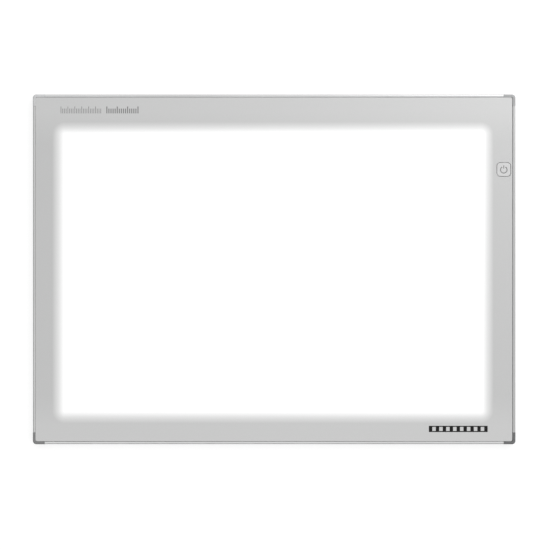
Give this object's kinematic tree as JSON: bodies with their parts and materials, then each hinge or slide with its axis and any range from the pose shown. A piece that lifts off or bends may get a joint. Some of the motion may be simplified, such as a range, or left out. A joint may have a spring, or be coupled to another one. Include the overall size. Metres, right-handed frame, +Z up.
{
  "type": "light box",
  "caption": "Thin rectangular tracing light box: opal front panel with a soft-edged lit area and grey border, aluminium rails, moulded corners, power key and rubber feet.",
  "frame": {"origin": "on the desk, under the middle of the pad", "axes": "+X along the long side to the right, +Y from the front edge to the rear, +Z up out of the lit face"},
  "size_m": [0.698, 0.506, 0.016],
  "materials": {
    "front_panel": "satin acrylic sheet, silver-grey printed border round a clear lit window",
    "anodised_rail": "satin silver anodised extrusion",
    "corner_plastic": "fine-textured moulded plastic, dark grey",
    "back_cover": "matte light grey sheet",
    "rubber": "matte black rubber",
    "key_plastic": "satin silver-grey key",
    "screw_steel": "zinc-plated steel",
    "white_film": "matte white film",
    "light_guide": "polished clear acrylic",
    "foam": "matte closed-cell foam",
    "led_strip": "white-masked circuit strip with LEDs",
    "heat_bar": "mill-finish aluminium",
    "adhesive_tape": "matte dark tape",
    "label": "blank satin label",
    "circuit_board": "green solder mask",
    "black_plastic": "matte black moulded plastic",
    "nylon": "natural nylon",
    "brass": "satin",
    "ferrite": "matte",
    "capacitor_sleeve": "satin sleeve",
    "lead_jacket": "matte white jacket"
  },
  "bodies": {
    "pad": {"front_panel": "front_panel", "rail_front": "anodised_rail", "rail_rear": "anodised_rail", "rail_left": "anodised_rail", "rail_right": "anodised_rail", "corner_front_left": "corner_plastic", "corner_front_right": "corner_plastic", "corner_rear_left": "corner_plastic", "corner_rear_right": "corner_plastic", "back_cover": "back_cover", "rubber_foot_front_left": "rubber", "rubber_foot_front_middle": "rubber", "rubber_foot_front_right": "rubber", "rubber_foot_rear_left": "rubber", "rubber_foot_rear_middle": "rubber", "rubber_foot_rear_right": "rubber", "cover_screw_front_1": "screw_steel", "cover_screw_front_2": "screw_steel", "cover_screw_front_3": "screw_steel", "cover_screw_rear_1": "screw_steel", "cover_screw_rear_2": "screw_steel", "cover_screw_rear_3": "screw_steel", "cover_screw_left_1": "screw_steel", "cover_screw_right_1": "screw_steel", "cover_screw_front_left": "screw_steel", "cover_screw_front_right": "screw_steel", "cover_screw_rear_left": "screw_steel", "cover_screw_rear_right": "screw_steel", "board_screw_1": "screw_steel", "board_screw_2": "screw_steel", "diffuser_sheet": "white_film", "reflector_sheet": "white_film", "light_guide_plate": "light_guide", "backing_foam": "foam", "led_strip_front": "led_strip", "led_strip_rear": "led_strip", "heat_bar_front": "heat_bar", "heat_bar_rear": "heat_bar", "panel_tape": "adhesive_tape", "thermal_tape_front": "adhesive_tape", "thermal_tape_rear": "adhesive_tape", "blank_label": "label", "control_board": "circuit_board", "switch_body": "black_plastic", "driver_chip": "black_plastic", "inlet_housing": "black_plastic", "board_spacer_1": "nylon", "board_spacer_2": "nylon", "lead_socket_front": "nylon", "lead_socket_rear": "nylon", "lead_clip_1": "nylon", "lead_clip_2": "nylon", "inlet_pin": "brass", "inlet_contact": "brass", "inductor": "ferrite", "capacitor": "capacitor_sleeve", "led_lead_front": "lead_jacket", "led_lead_rear": "lead_jacket"},
    "key": {"power_key": "key_plastic", "switch_plunger": "nylon"}
  },
  "joints": [
    {"name": "key_press", "type": "slide", "parent": "pad", "child": "key", "axis": [0, 0, -1], "range_m": [0, 0.0005], "stiffness_N_per_m": 3000, "springref_m": -0.0002}
  ]
}
